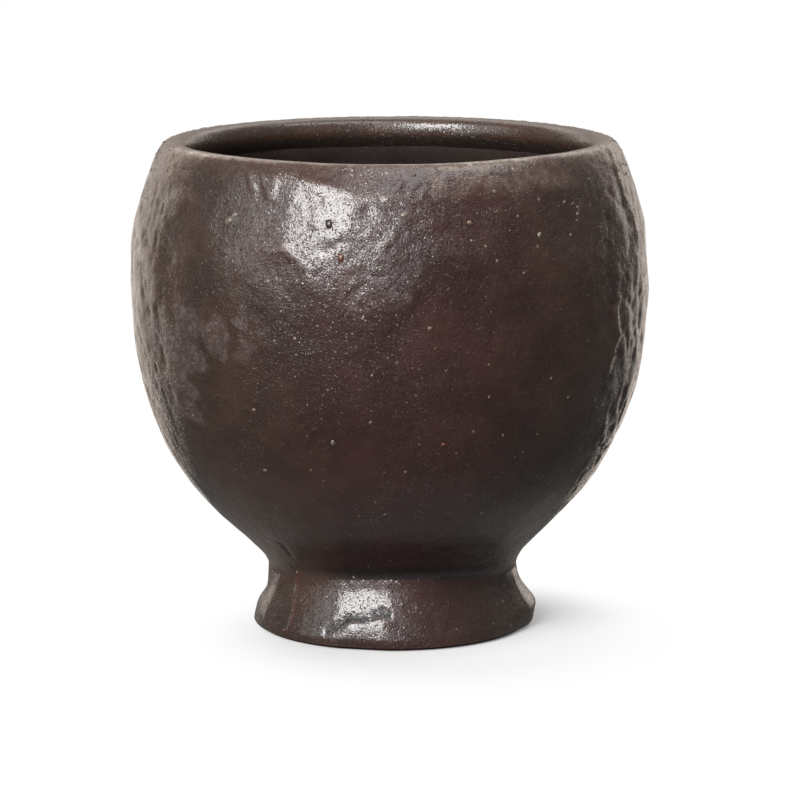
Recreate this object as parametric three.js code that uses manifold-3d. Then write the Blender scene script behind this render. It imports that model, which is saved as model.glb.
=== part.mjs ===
// A handle-less coffee cup, hand formed in stoneware and glazed dark brown.
// Millimetres, +Z up. It stands on z = 0, its axis is Z, and its front faces -Y.
// Outlines are drawn as radius and height, up the outside, over the lip and down the inside.

import * as THREE from 'three';
import Module from 'manifold-3d';
import { mergeVertices } from 'three/addons/utils/BufferGeometryUtils.js';

const wasm = await Module();
wasm.setup();

// Lip: its crest, drawn in from the belly, the narrowest point of the mouth, and the shoulder
// where it meets the wall
const cupHeight = 80.6;
const lipDraw = 7.0;
const mouthInset = 2.2;
const mouthDrop = 2.3;
const shoulderOut = 3.4;
const shoulderDrop = 4.3;
const shoulderLean = THREE.MathUtils.degToRad(19.5);

// Bowl: the belly is its widest level
const bellyRadius = 42.5;
const bellyDrop = 23.9;
const wallThickness = 4.4;
const floorThickness = 6.6;
const floorTurn = 8.5;

// Foot: waist, flare, and the level face that it stands on
const waistRadius = 20.65;
const waistHeight = 9.3;
const flareRadius = 23.3;
const edgeRound = 1.0;
const standingWidth = 3.8;
const footTopWall = 2.8;
const jointHeight = 9.8;
const footOffset = 0.5;
const footOffsetEnd = 22;

// Slip and soft clay that join the foot to the bowl and close the foot's strip
const slipThickness = 0.6;
const filletRise = 3.4;
const filletFall = 2.8;
const filletDepth = 1.1;
const filletEdge = 0.5;
const seamWidth = 1.0;
const seamTurn = THREE.MathUtils.degToRad(50);
const seamLift = 0.4;

// Glaze: the outer coat stops at the glaze line, and below it the clay is bare
const glazeThickness = 0.4;
const glazeLine = 1.3;
const fit = 0.05;

// Fullness of the curves: the reach of each curve's handle over the rise of that curve
const flareReach = 0.46;
const waistDownReach = 0.43;
const waistUpReach = 0.15;
const bellyDownReach = 0.745;
const bellyUpReach = 0.48;
const shoulderReach = 0.28;
const roundReach = 0.55;
const floorReach = 0.5;

// Waviness left by forming the bowl by hand
const handDepth = 0.25;
const handLobes = 3;
const handFineLobes = 5;
const handPitch = 24;

const turnSteps = 40;

// Levels and points that follow from the sizes above
const lipRadius = bellyRadius - lipDraw;
const bellyHeight = cupHeight - bellyDrop;
const seatHeight = jointHeight + slipThickness;
const floorHeight = seatHeight + floorThickness;
const claySkin = glazeThickness + fit;
const seatRadius = waistRadius - claySkin - filletDepth;
const baseRadius = flareRadius - claySkin - edgeRound;

const at = (radius, height) => new THREE.Vector2(radius, height);
const flare = at(flareRadius, glazeLine);
const waist = at(waistRadius, waistHeight);
const belly = at(bellyRadius, bellyHeight);
const shoulder = at(lipRadius + shoulderOut, cupHeight - shoulderDrop);
const crest = at(lipRadius, cupHeight);
const mouth = at(lipRadius - mouthInset, cupHeight - mouthDrop);
const upWall = at(-Math.sin(shoulderLean), Math.cos(shoulderLean));
const wallTop = shoulder.clone().sub(at(upWall.y, -upWall.x).multiplyScalar(wallThickness));

// A curve that leaves and arrives along two given directions
function curve(from, leave, arrive, to) {
  return new THREE.CubicBezierCurve(from, from.clone().add(leave), to.clone().sub(arrive), to);
}

// The share of a rising curve at which it reaches a height
function shareAt(rising, height) {
  let low = 0;
  let high = 1;
  for (let halving = 0; halving < 40; halving += 1) {
    const middle = (low + high) / 2;
    if (rising.getPoint(middle).y < height) low = middle;
    else high = middle;
  }
  return low;
}

// Evenly stepped points of a curve between two shares, without the last one
function stretch(path, start, end, steps) {
  return Array.from({ length: steps }, (_, step) => path.getPoint(start + (end - start) * step / steps));
}

// An open outline moved to the left of its direction of travel, into the clay
function deeper(points, depth) {
  return points.map((point, index) => {
    const before = points[Math.max(index - 1, 0)];
    const after = points[Math.min(index + 1, points.length - 1)];
    const along = after.clone().sub(before).normalize();
    const moved = at(point.x - along.y * depth, point.y + along.x * depth);
    return point.x === 0 ? at(0, point.y + Math.sign(along.x) * depth) : moved;
  });
}

// A closed outline drawn in by the same gap on every side, with square corners
function drawnIn(loop, gap) {
  return loop.map((point, index) => {
    const before = loop[(index + loop.length - 1) % loop.length];
    const after = loop[(index + 1) % loop.length];
    const arriving = point.clone().sub(before).normalize();
    const leaving = after.clone().sub(point).normalize();
    const inward = at(-arriving.y - leaving.y, arriving.x + leaving.x).normalize();
    const share = gap / (inward.y * arriving.x - inward.x * arriving.y);
    return point.clone().add(inward.multiplyScalar(share));
  });
}

// The finished outside, from the glaze line up to the shoulder
const footRise = waistHeight - glazeLine;
const lowerRise = bellyHeight - waistHeight;
const upperRise = shoulder.y - bellyHeight;
const footCurve = curve(flare, at(0, flareReach * footRise), at(0, waistDownReach * footRise), waist);
const lowerCurve = curve(waist, at(0, waistUpReach * lowerRise), at(0, bellyDownReach * lowerRise), belly);
const upperCurve = curve(
  belly,
  at(0, bellyUpReach * upperRise),
  upWall.clone().multiplyScalar(shoulderReach * upperRise),
  shoulder,
);
const filletFoot = shareAt(footCurve, jointHeight - filletFall);
const filletHead = shareAt(lowerCurve, jointHeight + filletRise);
const floorEdge = shareAt(lowerCurve, floorHeight + floorTurn);

// The finished lip: outer round, inner round, and the hollow under it
const outerRound = curve(
  shoulder,
  upWall.clone().multiplyScalar(roundReach * shoulderDrop),
  at(-roundReach * shoulderOut, 0),
  crest,
);
const innerRound = curve(crest, at(-roundReach * mouthInset, 0), at(0, -roundReach * mouthDrop), mouth);
const underRise = mouth.y - wallTop.y;
const underRound = curve(
  mouth,
  at(0, -roundReach * underRise),
  upWall.clone().multiplyScalar(-shoulderReach * underRise),
  wallTop,
);

// The finished inside: the outside moved in by the wall, then a round to the middle of the floor
const outsideOfWall = [
  ...stretch(lowerCurve, floorEdge, 1, 5),
  ...stretch(upperCurve, 0, 1, 4),
  shoulder,
];
const insideOfWall = deeper(outsideOfWall, wallThickness).reverse();
const wallFoot = insideOfWall[insideOfWall.length - 1];
const wallFall = wallFoot.clone().sub(insideOfWall[insideOfWall.length - 2]).normalize();
const floorMiddle = at(0, floorHeight);
const floorRound = curve(
  wallFoot,
  wallFall.multiplyScalar(floorReach * (wallFoot.y - floorHeight)),
  at(-floorReach * wallFoot.x, 0),
  floorMiddle,
);

// The whole finished outline, and the places on it where one piece of clay ends at the next
const runs = [
  stretch(footCurve, 0, filletFoot, 3),
  [...stretch(footCurve, filletFoot, 1, 2), ...stretch(lowerCurve, 0, filletHead, 3)],
  [...stretch(lowerCurve, filletHead, 1, 8), ...stretch(upperCurve, 0, 1, 4)],
  stretch(outerRound, 0, 1, 4),
  [...stretch(innerRound, 0, 1, 3), ...stretch(underRound, 0, 1, 2)],
  [...insideOfWall.slice(0, -1), ...stretch(floorRound, 0, 1, 5), floorMiddle],
];
const finished = runs.flat();
const starts = runs.map((_, run) => runs.slice(0, run).flat().length);
const [, filletStart, bowlStart, shoulderAt, crestAt, wallTopAt] = starts;
const clay = deeper(finished, claySkin);
const glazeBack = deeper(finished, glazeThickness);
const filletBack = deeper(finished, claySkin + filletEdge);

// The clay sections, each a closed outline
const bowlSection = [
  at(0, seatHeight),
  at(seatRadius, seatHeight),
  filletBack[bowlStart],
  ...clay.slice(bowlStart, shoulderAt + 1),
  ...clay.slice(wallTopAt),
];
const coilSection = drawnIn(clay.slice(shoulderAt, wallTopAt + 1), fit);
const filletSection = drawnIn([
  filletBack[filletStart],
  ...clay.slice(filletStart, bowlStart + 1),
  filletBack[bowlStart],
  at(seatRadius, seatHeight),
  at(seatRadius, jointHeight),
], fit);
const footEdge = curve(at(baseRadius, 0), at(roundReach * edgeRound, 0), at(0, roundReach * glazeLine), clay[0]);
const footSection = [
  at(baseRadius - standingWidth, 0),
  ...stretch(footEdge, 0, 1, 3),
  ...clay.slice(0, filletStart + 1),
  filletBack[filletStart],
  at(seatRadius, jointHeight),
  at(seatRadius - footTopWall, jointHeight),
];
const slipSection = drawnIn([
  at(seatRadius - footTopWall, jointHeight),
  at(seatRadius, jointHeight),
  at(seatRadius, seatHeight),
  at(seatRadius - footTopWall, seatHeight),
], fit);

// The glaze sections: each coat runs along its clay, and the two meet on the crest of the lip
const crestGap = at(fit, 0);
const outerGlazeSection = [
  ...finished.slice(0, crestAt),
  crest.clone().add(crestGap),
  glazeBack[crestAt].clone().add(crestGap),
  ...glazeBack.slice(0, crestAt).reverse(),
];
const linerGlazeSection = [...finished.slice(crestAt), ...glazeBack.slice(crestAt).reverse()];

// A section turned about the axis, and stood upright
function turned(section) {
  const onAxis = section[0].x === 0;
  const profile = onAxis ? section : [...section, section[0].clone()];
  return new THREE.LatheGeometry(profile, turnSteps).rotateX(Math.PI / 2);
}

// The liner's outline starts on the lip and meets the axis half way, so it is turned from there
function turnedFromAxis(section) {
  const first = section.findIndex((point, index) => point.x === 0 && section[index - 1].x === 0);
  return turned([...section.slice(first), ...section.slice(0, first)]);
}

function toSolid(geometry) {
  geometry.deleteAttribute('normal');
  geometry.deleteAttribute('uv');
  const merged = mergeVertices(geometry, 1e-4);
  const vertProperties = new Float32Array(merged.attributes.position.array);
  const triVerts = new Uint32Array(merged.index.array);
  const mesh = new wasm.Mesh({ numProp: 3, vertProperties, triVerts });
  mesh.merge();
  return new wasm.Manifold(mesh);
}

function fromSolid(solid) {
  const { numProp, vertProperties, triVerts } = solid.getMesh();
  const geometry = new THREE.BufferGeometry();
  geometry.setAttribute('position', new THREE.BufferAttribute(vertProperties, numProp));
  geometry.setIndex(new THREE.BufferAttribute(triVerts, 1));
  return geometry;
}

// A slice of the foot, on its front left, where the two ends of its strip meet
function seamSlice(width, bottom) {
  const top = jointHeight + slipThickness;
  const slice = new THREE.BoxGeometry(width, flareRadius, top - bottom);
  slice.translate(0, -flareRadius, (top + bottom) / 2);
  return toSolid(slice.rotateZ(-seamTurn));
}

// The foot set a little to one side, and the bowl left slightly wavy
function shapedByHand(geometry) {
  const position = geometry.attributes.position;
  for (let index = 0; index < position.count; index += 1) {
    const x = position.getX(index);
    const y = position.getY(index);
    const z = position.getZ(index);
    const turn = Math.atan2(y, x);
    const wave = Math.sin(handLobes * turn + z / handPitch) + Math.sin(handFineLobes * turn - z / handPitch);
    const inBowl = THREE.MathUtils.smoothstep(z, waistHeight, bellyHeight);
    const swell = 1 + handDepth * wave * inBowl / (2 * bellyRadius);
    const shift = footOffset * (1 - THREE.MathUtils.smoothstep(z, waistHeight, footOffsetEnd));
    position.setXYZ(index, x * swell + shift, y * swell, z);
  }
  return geometry;
}

const glazeBrown = { color: 0x3a2a26, roughness: 0.3, metalness: 0 };
const linerBrown = { color: 0x4a332a, roughness: 0.35, metalness: 0 };
const bareClay = { color: 0x4b352b, roughness: 0.85, metalness: 0 };
const drySlip = { color: 0x6b4636, roughness: 0.9, metalness: 0 };

const cup = new THREE.Group();

function addPiece(name, geometry, finish) {
  const shaped = shapedByHand(geometry);
  shaped.computeVertexNormals();
  const mesh = new THREE.Mesh(shaped, new THREE.MeshStandardMaterial(finish));
  mesh.name = name;
  cup.add(mesh);
}

const wholeFoot = toSolid(turned(footSection));
const openFoot = wholeFoot.subtract(seamSlice(seamWidth, -seamLift));
const seamFill = wholeFoot.intersect(seamSlice(seamWidth - 2 * fit, seamLift));

addPiece('bowl_wall', turned(bowlSection), bareClay);
addPiece('rim_coil', turned(coilSection), bareClay);
addPiece('foot_ring', fromSolid(openFoot), bareClay);
addPiece('foot_seam_slip', fromSolid(seamFill), drySlip);
addPiece('waist_fillet', turned(filletSection), bareClay);
addPiece('joint_slip', turned(slipSection), drySlip);
addPiece('outer_glaze', turned(outerGlazeSection), glazeBrown);
addPiece('liner_glaze', turnedFromAxis(linerGlazeSection), linerBrown);

export default cup;
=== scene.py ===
import math
import random
import bpy
import numpy as np
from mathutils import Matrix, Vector, noise


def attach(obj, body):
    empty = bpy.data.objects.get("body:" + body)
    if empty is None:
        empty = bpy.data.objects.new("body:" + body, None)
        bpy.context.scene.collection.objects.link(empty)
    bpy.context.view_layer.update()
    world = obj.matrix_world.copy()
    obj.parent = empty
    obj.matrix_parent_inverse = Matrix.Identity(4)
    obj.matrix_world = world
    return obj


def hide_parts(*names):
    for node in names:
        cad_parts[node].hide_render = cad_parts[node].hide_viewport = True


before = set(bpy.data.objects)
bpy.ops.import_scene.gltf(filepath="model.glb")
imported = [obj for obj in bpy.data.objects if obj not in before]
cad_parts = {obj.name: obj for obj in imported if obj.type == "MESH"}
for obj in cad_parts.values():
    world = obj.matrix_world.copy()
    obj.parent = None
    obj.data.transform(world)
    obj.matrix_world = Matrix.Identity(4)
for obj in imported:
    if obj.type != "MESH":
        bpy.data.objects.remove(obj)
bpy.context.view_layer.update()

MM = 0.001

# Finished sizes of the cup in millimetres, those of the solids or close to them
CREST_RADIUS, CREST_HEIGHT = 35.9, 80.7
MOUTH_RADIUS, MOUTH_HEIGHT, MOUTH_INSIDE = 33.3, 78.3, 35.2
SHOULDER_RADIUS, SHOULDER_HEIGHT = 38.9, 76.3
SHOULDER_LEAN = math.radians(19.5)
BELLY_RADIUS, BELLY_HEIGHT = 42.5, 56.7
WAIST_RADIUS, WAIST_HEIGHT = 20.65, 9.3
FLARE_RADIUS, GLAZE_LINE = 23.3, 0.55
WALL_THICKNESS = 4.4
FLOOR_HEIGHT, FLOOR_TURN = 17.0, 25.5
SEAT_HEIGHT, SEAT_RADIUS = 10.4, 16.3
STANDING_INNER, STANDING_OUTER = 18.05, 22.3
GLAZE_DEPTH = 0.45
FOOT_OFFSET, FOOT_OFFSET_END = 0.5, 22.0
HAND_DEPTH, HAND_PITCH = 0.25, 24.0
RIM_LEAN, RIM_DIP = 0.1, 0.25

# The photographed view: the camera's place in millimetres, its tilt, and its focal length in pixels
CAMERA_SIDE, CAMERA_BACK, CAMERA_HEIGHT = 1.85, 600.0, 146.6
CAMERA_TILT = 0.18045
FOCAL_PIXELS = 3670.0
PICTURE = 800.0

# Fineness of the meshes: columns round the outside and round the other pieces, the outside's row
# step in millimetres, and how much the columns crowd towards the front
COLUMNS, LESSER_COLUMNS = 460, 360
ROW_STEP = 0.52
FRONT_CROWDING = 0.40
random.seed(7)


def bezier(start, leave, arrive, end, count):
    """Points of a cubic curve that leaves and arrives along two given directions."""
    t = np.linspace(0.0, 1.0, count)[:, None]
    a, d = np.array(start, float), np.array(end, float)
    b, c = a + np.array(leave), d - np.array(arrive)
    return (1 - t) ** 3 * a + 3 * (1 - t) ** 2 * t * b + 3 * (1 - t) * t * t * c + t ** 3 * d


def joined(*stretches):
    """Several runs of points as one, with each shared end kept once."""
    return np.vstack([stretches[0]] + [run[1:] for run in stretches[1:]])


def evenly(points, step):
    """The same outline with points at even distances along it."""
    along = np.r_[0.0, np.cumsum(np.hypot(*np.diff(points, axis=0).T))]
    marks = np.linspace(0.0, along[-1], max(2, int(round(along[-1] / step)) + 1))
    return np.c_[np.interp(marks, along, points[:, 0]), np.interp(marks, along, points[:, 1])]


def normals_of(points):
    """Normals of an outline, away from the axis where it is drawn downwards."""
    along = np.gradient(points, axis=0)
    along /= np.hypot(along[:, 0], along[:, 1])[:, None]
    return np.c_[-along[:, 1], along[:, 0]]


def smooth(value, low, high):
    """A soft step from 0 at the low value to 1 at the high one."""
    share = np.clip((value - low) / (high - low), 0.0, 1.0)
    return share * share * (3 - 2 * share)


UP_WALL = np.array([-math.sin(SHOULDER_LEAN), math.cos(SHOULDER_LEAN)])
OUT_WALL = np.array([UP_WALL[1], -UP_WALL[0]])
WALL_TOP = np.array([SHOULDER_RADIUS, SHOULDER_HEIGHT]) - OUT_WALL * WALL_THICKNESS


def wall_curves():
    """The finished outside from the waist to the belly, and from the belly to the shoulder."""
    lower_rise, upper_rise = BELLY_HEIGHT - WAIST_HEIGHT, SHOULDER_HEIGHT - BELLY_HEIGHT
    lower = bezier((WAIST_RADIUS, WAIST_HEIGHT), (0, 0.15 * lower_rise), (0, 0.745 * lower_rise),
                   (BELLY_RADIUS, BELLY_HEIGHT), 200)
    upper = bezier((BELLY_RADIUS, BELLY_HEIGHT), (0, 0.48 * upper_rise), UP_WALL * 0.28 * upper_rise,
                   (SHOULDER_RADIUS, SHOULDER_HEIGHT), 80)
    return lower, upper


def outer_outline():
    """From under the inner lip, over the flat crest and down the outside to the glaze line."""
    lower, upper = wall_curves()
    crest, mouth = (CREST_RADIUS, CREST_HEIGHT), (MOUTH_RADIUS, MOUTH_HEIGHT)
    tuck = np.array([WALL_TOP - UP_WALL * 1.6 + OUT_WALL * 0.4, WALL_TOP])
    under = bezier(WALL_TOP, UP_WALL * 1.0, (0, 1.8), mouth, 40)
    inner_round = bezier(mouth, (0.25, 2.3), (1.8, 0.2), crest, 40)
    outer_round = bezier(crest, (1.0, 0), -UP_WALL * 3.0, upper[-1], 60)
    foot_rise = WAIST_HEIGHT - GLAZE_LINE
    foot = bezier((WAIST_RADIUS, WAIST_HEIGHT), (0, -0.43 * foot_rise), (0, -0.40 * foot_rise),
                  (FLARE_RADIUS, GLAZE_LINE), 60)
    return joined(tuck, under, inner_round, outer_round, upper[::-1], lower[::-1], foot)


def inner_outline():
    """From behind the inner lip down the inside to the middle of the floor."""
    lower, upper = wall_curves()
    wall = joined(lower[lower[:, 1] >= FLOOR_TURN], upper)[::-1]
    inside = wall - normals_of(wall) * WALL_THICKNESS
    tuck = np.array([inside[0] + UP_WALL * 1.4 + OUT_WALL * 0.5, inside[0]])
    fall = inside[-1] - inside[-2]
    fall /= np.hypot(*fall)
    drop = inside[-1, 1] - FLOOR_HEIGHT
    floor = bezier(inside[-1], fall * 0.5 * drop, (-0.5 * inside[-1, 0], 0), (0.02, FLOOR_HEIGHT), 80)
    return joined(tuck, inside, floor)


def turns_of(points):
    """Turns of points from the front, in radians, to the right."""
    return np.arctan2(points[..., 0], -points[..., 1])


def formed_by_hand(points):
    """The foot's side step and the bowl's waviness, as in the solids, and the rim's lean and dip."""
    x, y, z = points[..., 0], points[..., 1], points[..., 2]
    turn = np.arctan2(y, x)
    wave = np.sin(3 * turn + z / HAND_PITCH) + np.sin(5 * turn - z / HAND_PITCH)
    swell = 1 + HAND_DEPTH * wave * smooth(z, WAIST_HEIGHT, BELLY_HEIGHT) / (2 * BELLY_RADIUS)
    shift = FOOT_OFFSET * (1 - smooth(z, WAIST_HEIGHT, FOOT_OFFSET_END))
    lean = RIM_LEAN * x / BELLY_RADIUS * smooth(z, BELLY_HEIGHT, CREST_HEIGHT)
    aside = np.abs(turns_of(points))
    rising = smooth(aside, math.radians(8), math.radians(45))
    rising *= 1 - smooth(aside, math.radians(75), math.radians(110))
    lean += RIM_DIP * rising * smooth(z, 74.0, CREST_HEIGHT)
    return np.stack([x * swell + shift, y * swell, z + lean], axis=-1)


def column_turns(columns):
    """Turns of the columns from the front, closer together at the front."""
    even = np.linspace(-math.pi, math.pi, columns, endpoint=False)
    return even - FRONT_CROWDING * np.sin(even)


def turned_grid(outline, columns):
    """Points and normals of an outline turned about the axis: rows along it, columns round it."""
    turn = column_turns(columns)[None, :]
    normal = normals_of(outline)
    across, ahead = np.sin(turn), -np.cos(turn)
    upward = np.ones_like(across)
    return tuple(np.stack([run[:, :1] * across, run[:, :1] * ahead, run[:, 1:] * upward], axis=-1)
                 for run in (outline, normal))


# The foot: its top line rises towards the front, and its front face is a cone over an upright edge,
# given as shares of the way down from the waist and radii in millimetres
FOOT_RISE = 1.5
FOOT_FRONT = np.array([
    (0.0, 20.3), (0.10, 20.42), (0.20, 20.75), (0.82, 23.5), (0.88, 23.7), (1.0, 23.65),
])
FOOT_FACET_TURN, FOOT_FACET_HALF, FOOT_FACET_DEPTH = math.radians(-12.5), math.radians(13), 0.32


def foot_front(turn):
    """1 over the front of the foot, fading to 0 at its sides."""
    return 1 - smooth(np.abs(turn), math.radians(42), math.radians(78))


def seam_turn(height):
    """Turn of the foot's seam from the front, at a height."""
    return -np.radians(46.4 + 3.2 * smooth(height, 4.0, 8.5))


def pinched_foot(points):
    """Lifts the foot's top line at the front, makes a cone of its face there and shapes its sides."""
    turn, height = turns_of(points), points[..., 2]
    aside = np.abs(turn)
    radius = np.hypot(points[..., 0], points[..., 1])
    front = foot_front(turn)
    down = np.clip((WAIST_HEIGHT - height) / (WAIST_HEIGHT - GLAZE_LINE), 0, 1)
    cone = np.interp(down, FOOT_FRONT[:, 0], FOOT_FRONT[:, 1])
    across = np.clip(np.abs(turn - FOOT_FACET_TURN) / FOOT_FACET_HALF, 0, 1)
    cone -= FOOT_FACET_DEPTH * (1 - across ** 2) ** 2
    turned = np.interp(height, BOWL_SIDE[::-1, 1], BOWL_SIDE[::-1, 0])
    on_foot = 1 - smooth(height, WAIST_HEIGHT - 0.4, WAIST_HEIGHT + 3.0)
    change = front * (cone - turned) * on_foot
    side = smooth(aside, math.radians(50), math.radians(85)) * (1 - smooth(aside, 2.0, 2.6))
    left, right = smooth(-turn, math.radians(66), math.radians(88)) * side, side * (turn > 0)
    change -= left * 0.7 * np.exp(-((height - 5.0) / 2.0) ** 2)
    change -= left * 0.3 * np.exp(-((height - 1.6) / 1.4) ** 2)
    change += right * 1.3 * np.exp(-np.abs(height - 3.2) / np.where(height > 3.2, 3.0, 1.7))
    scale = 1 + change * (radius > STANDING_INNER - 0.5) / np.maximum(radius, 1.0)
    rising = smooth(height, GLAZE_LINE, WAIST_HEIGHT) * (1 - smooth(height, WAIST_HEIGHT, 21.0))
    lift = FOOT_RISE * rising * (1 - smooth(aside, math.radians(5), math.radians(70)))
    return np.stack([points[..., 0] * scale, points[..., 1] * scale, height + lift], axis=-1)


def grid_normals(grid, guide):
    """Normals of a grid of rings, on the side of a guide direction."""
    across = np.roll(grid, -1, axis=1) - np.roll(grid, 1, axis=1)
    normals = np.cross(across, np.gradient(grid, axis=0))
    normals /= np.maximum(np.linalg.norm(normals, axis=-1), 1e-9)[..., None]
    return normals * np.sign(np.sum(normals * guide, axis=-1))[..., None]


OUTER = evenly(outer_outline(), ROW_STEP)
CREST_ROW = int(np.argmax(OUTER[:, 1]))
BOWL_SIDE = OUTER[CREST_ROW:]
BOWL_SIDE_NORMALS = normals_of(OUTER)[CREST_ROW:]
TURNED, TURNED_NORMALS = turned_grid(OUTER, COLUMNS)
FORMED = formed_by_hand(pinched_foot(TURNED))
FORMED_NORMALS = grid_normals(FORMED, TURNED_NORMALS)


def picture_places():
    """Pixels of the photo at which the formed outside shows, and the turned points that show there."""
    eye = np.array([CAMERA_SIDE, -CAMERA_BACK, CAMERA_HEIGHT])
    offset = FORMED[CREST_ROW:] - eye
    facing = np.sum(offset * FORMED_NORMALS[CREST_ROW:], axis=-1) < 0
    x, y, z = offset[facing].T
    depth = y * math.cos(CAMERA_TILT) - z * math.sin(CAMERA_TILT)
    rise = y * math.sin(CAMERA_TILT) + z * math.cos(CAMERA_TILT)
    pixels = PICTURE / 2 + FOCAL_PIXELS * np.c_[x, -rise] / depth[:, None]
    return pixels, TURNED[CREST_ROW:][facing]


PIXELS, PIXEL_POINTS = picture_places()


def pixel_point(px, py):
    """The turned point of the outside that shows at a pixel of the photo."""
    away = np.hypot(PIXELS[:, 0] - px, PIXELS[:, 1] - py)
    near = np.argsort(away)[:6]
    if away[near[0]] > 6:
        raise ValueError(f"pixel {px}, {py} is off the cup")
    weight = 1 / (away[near] + 0.2) ** 2
    return (PIXEL_POINTS[near] * weight[:, None]).sum(axis=0) / weight.sum()


def surface_point(turn, height):
    """A point of the turned outside, and the outward normal there."""
    row = np.argmin(np.abs(BOWL_SIDE[:, 1] - height))
    radius = np.interp(height, BOWL_SIDE[::-1, 1], BOWL_SIDE[::-1, 0])
    out, up = BOWL_SIDE_NORMALS[row]
    point = np.array([radius * math.sin(turn), -radius * math.cos(turn), height])
    return point, np.array([out * math.sin(turn), -out * math.cos(turn), up])


def on_surface(px, py):
    """The turn from the front and the height of the turned outside at a pixel of the photo."""
    point = pixel_point(px, py)
    return float(turns_of(point)), float(point[2])


def noise_at(points, size, seed, stretch=1.0):
    """Smooth noise over points, about -1 to 1, with features of a given size in millimetres."""
    flat = points.reshape(-1, 3) / (size, size, size * stretch) + seed * 17.3
    return np.array([noise.noise(Vector(p)) for p in flat]).reshape(points.shape[:-1])


def stroke_at(points, start, end, width):
    """Nearness, 0 to 1, of points to a short straight stroke between two points."""
    along = end - start
    length = max(np.linalg.norm(along), 1e-6)
    share = np.clip(((points - start) @ along) / length ** 2, 0, 1)
    away = np.linalg.norm(points - start - share[..., None] * along, axis=-1)
    return np.exp(-(away / width) ** 2)


# Facets pressed by hand: pixel in the photo, then tilt to the right and upwards
PRESSED_FACETS = [
    (311, 222, 0.0, 0.0), (354, 266, 0.0, 0.0), (238, 222, 0.08, 0.0), (252, 292, 0.05, 0.02),
    (394, 226, 0.0, 0.0), (165, 192, -0.07, 0.0), (166, 347, -0.09, 0.0), (162, 266, 0.08, 0.0),
    (330, 350, 0.0, -0.02), (455, 205, 0.02, 0.02), (460, 310, 0.0, 0.0), (395, 370, -0.02, 0.0),
    (525, 250, 0.03, 0.0), (575, 205, -0.02, 0.02), (565, 320, 0.0, 0.02), (206, 385, -0.03, 0.02),
    (270, 400, 0.02, 0.0), (355, 445, 0.0, 0.0), (445, 430, 0.02, -0.02), (520, 400, -0.02, 0.0),
    (250, 470, 0.0, 0.02), (330, 515, 0.0, 0.0), (440, 510, 0.0, -0.02),
]
# The flattest of them: pixel, and reach in millimetres
FLAT_FACETS = [(318, 235, 12.0), (165, 192, 8.0), (162, 266, 7.0), (166, 347, 7.0)]
FACET_COUNT = 78
FACET_SPACING = 11.5


def facet_planes():
    """Planes of the pressed facets: the placed ones, then spread ones round the rest of the bowl."""
    seeds = [(*on_surface(px, py), right, up) for px, py, right, up in PRESSED_FACETS]
    centres = [surface_point(turn, height)[0] for turn, height, _, _ in seeds]
    for _ in range(6000):
        turn, height = random.uniform(-math.pi, math.pi), random.uniform(17, 75)
        tilts = random.gauss(0, 0.025), random.gauss(0, 0.025)
        centre = surface_point(turn, height)[0]
        clear = min(np.linalg.norm(centre - other) for other in centres) > FACET_SPACING
        if clear and len(seeds) < FACET_COUNT:
            seeds.append((turn, height, *tilts))
            centres.append(centre)
    planes = []
    for turn, height, right, up in seeds:
        point, normal = surface_point(turn, height)
        sideways = np.array([math.cos(turn), math.sin(turn), 0.0])
        tilted = normal + sideways * right + np.cross(normal, sideways) * up
        planes.append((point, tilted / np.linalg.norm(tilted)))
    return planes


def facet_relief(points, normals):
    """How far the pressed facets stand from the turned surface, in millimetres."""
    lowest = np.full(points.shape[:-1], 4.0)
    blend = 0.06
    for point, normal in facet_planes():
        facing = normals @ normal
        rise = ((point - points) @ normal) / np.maximum(facing, 0.2)
        rise = np.where(facing > 0.6, rise, 4.0)
        lowest = -blend * np.logaddexp(-lowest / blend, -rise / blend)
    flatness = np.full_like(lowest, 0.24)
    for px, py, reach in FLAT_FACETS:
        away = np.linalg.norm(points - pixel_point(px, py), axis=-1)
        flatness = np.maximum(flatness, 0.24 + 0.54 * np.exp(-(away / reach) ** 2))
    return flatness * np.clip(lowest, -0.6, 0.8)


# Ridges and scratches: start and end pixel, half-width and height in millimetres
RIDGES = [
    (250, 172, 254, 192, 0.6, 0.16), (263, 174, 268, 196, 0.6, 0.16), (275, 177, 272, 197, 0.7, 0.18),
    (580, 206, 576, 229, 0.35, 0.16), (515, 397, 529, 394, 0.35, 0.10), (300, 262, 282, 248, 0.6, 0.10),
    (436, 168, 553, 158, 0.35, 0.10), (440, 172, 520, 166, 0.4, -0.08), (295, 244, 311, 231, 0.5, -0.12),
    (323, 253, 343, 241, 0.6, -0.12), (349, 299, 363, 285, 0.6, -0.10), (385, 246, 394, 236, 0.5, 0.10),
    (380, 200, 387, 210, 0.9, -0.14), (396, 188, 402, 182, 0.6, 0.12), (410, 190, 416, 184, 0.6, 0.10),
    (421, 196, 427, 186, 0.5, 0.10),
    (610, 152, 615, 169, 0.7, 0.22), (615, 169, 624, 196, 0.7, 0.22), (632, 215, 636, 236, 0.8, 0.24),
    (636, 236, 636, 282, 0.8, 0.24), (622, 160, 629, 176, 0.6, -0.25), (629, 176, 635, 198, 0.6, -0.25),
    (639, 294, 640, 326, 0.8, -0.28), (626, 333, 628, 343, 0.7, -0.25), (619, 297, 615, 311, 0.7, 0.26),
    (615, 311, 619, 335, 0.7, 0.26), (619, 335, 613, 353, 0.7, 0.24), (613, 354, 608, 374, 0.7, 0.22),
    (625, 390, 620, 407, 0.8, -0.28), (291, 556, 280, 543, 0.5, -0.20), (141, 266, 144, 296, 0.7, -0.24),
    (143, 205, 141, 216, 0.6, -0.22),
]
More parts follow.
